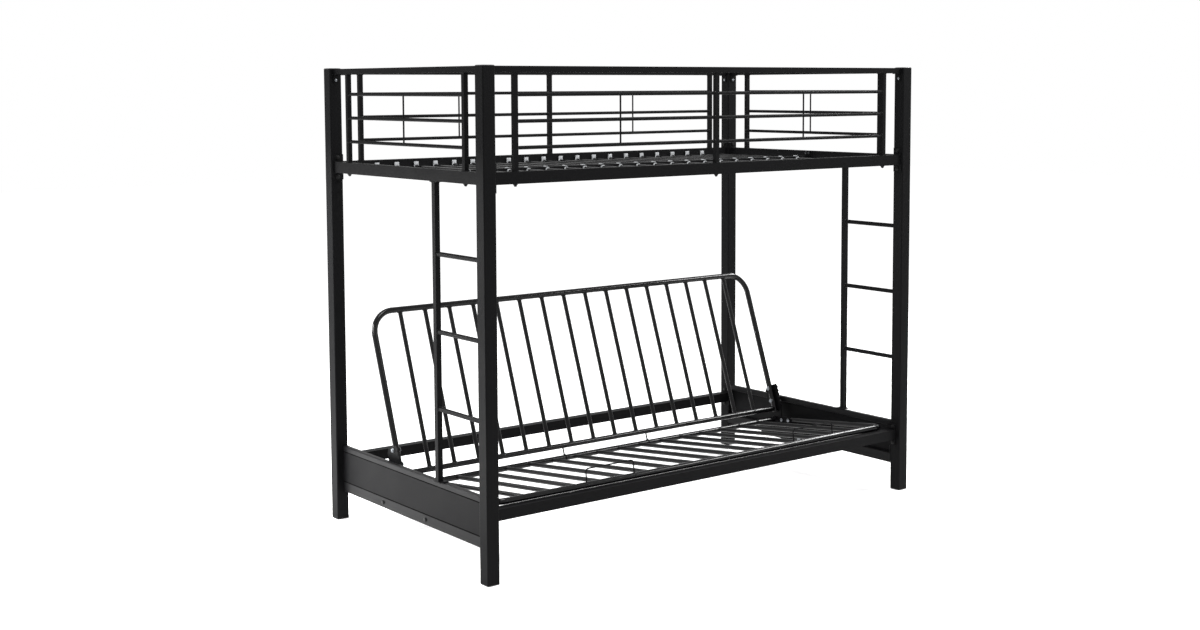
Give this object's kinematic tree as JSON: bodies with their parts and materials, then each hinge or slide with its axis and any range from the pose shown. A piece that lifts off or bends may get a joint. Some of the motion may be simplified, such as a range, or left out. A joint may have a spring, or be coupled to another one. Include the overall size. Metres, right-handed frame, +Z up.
{
  "type": "futon bunk bed",
  "caption": "Metal bunk bed: a guarded upper deck on corner posts with ladders in both ends, over a tubular futon frame that folds from sofa to flat bed",
  "frame": {"origin": "on the floor under the middle of the four corner posts", "axes": "+X along the bed to the right seen from the open front, +Y from the open front to the back, +Z up"},
  "size_m": [1.981, 1.052, 1.663],
  "materials": {
    "black_steel": "satin black powder coat",
    "slat_steel": "satin black powder coat",
    "zinc_fasteners": "zinc plated",
    "black_fasteners": "black oxide, satin",
    "light_plastic": "moulded light grey",
    "black_plastic": "moulded black"
  },
  "bodies": {
    "bed_frame": {"arm_foot_bolts": "zinc_fasteners", "base_channel_left": "black_steel", "base_channel_right": "black_steel", "bracket_screws": "zinc_fasteners", "channel_bolts": "black_fasteners", "deck_beam": "black_steel", "end_panel_frame_left": "black_steel", "end_panel_frame_right": "black_steel", "end_panel_sheet_left": "black_steel", "end_panel_sheet_right": "black_steel", "foot_glides": "black_plastic", "frame_bolts": "black_fasteners", "guard_brackets": "black_steel", "guard_rail_back": "black_steel", "guard_rail_front": "black_steel", "guard_rail_left": "black_steel", "guard_rail_right": "black_steel", "guard_rods_back": "black_steel", "guard_rods_front": "black_steel", "guard_rods_left": "black_steel", "guard_rods_right": "black_steel", "guard_uprights_back": "black_steel", "guard_uprights_front": "black_steel", "guard_uprights_left": "black_steel", "guard_uprights_right": "black_steel", "ladder_rungs_left": "black_steel", "ladder_rungs_right": "black_steel", "ladder_saddles": "black_steel", "ladder_stile_left": "black_steel", "ladder_stile_right": "black_steel", "low_rail_back": "black_steel", "low_rail_front": "black_steel", "post_back_left": "black_steel", "post_back_right": "black_steel", "post_caps": "black_plastic", "post_front_left": "black_steel", "post_front_right": "black_steel", "rail_end_plates": "black_steel", "slat_clips_back": "light_plastic", "slat_clips_front": "light_plastic", "upper_rail_back": "black_steel", "upper_rail_front": "black_steel", "upper_rail_left": "black_steel", "upper_rail_right": "black_steel", "upper_slats": "slat_steel", "upright_bolts": "black_fasteners"},
    "swing_arms": {"swing_arms": "black_steel"},
    "seat": {"seat_frame": "black_steel", "seat_axle_tube": "black_steel", "seat_bars": "black_steel", "seat_hinge_plates": "black_steel", "seat_plate_bolts": "zinc_fasteners", "axle_bolts": "zinc_fasteners", "mattress_stops": "black_steel"},
    "backrest": {"back_frame": "black_steel", "back_low_tube": "black_steel", "back_bars": "black_steel", "back_hinge_plates": "black_steel", "back_plate_bolts": "zinc_fasteners", "tie_links": "black_steel"}
  },
  "joints": [
    {"name": "arm_swing", "type": "hinge", "parent": "bed_frame", "child": "swing_arms", "pos_m": [0, -0.02447, 0.124], "axis": [1, 0, 0], "range_deg": [0, 109.78]},
    {"name": "seat_hinge", "type": "hinge", "parent": "swing_arms", "child": "seat", "pos_m": [0, 0.132, 0.182], "axis": [1, 0, 0], "range_deg": [-103.31, 0]},
    {"name": "back_hinge", "type": "hinge", "parent": "seat", "child": "backrest", "pos_m": [0, 0.132, 0.182], "axis": [1, 0, 0], "range_deg": [-76.79, 0]}
  ],
  "couplings": [
    {"joint": "seat_hinge", "follows": "arm_swing", "ratio": -0.94097},
    {"joint": "back_hinge", "follows": "arm_swing", "ratio": -0.69939}
  ]
}
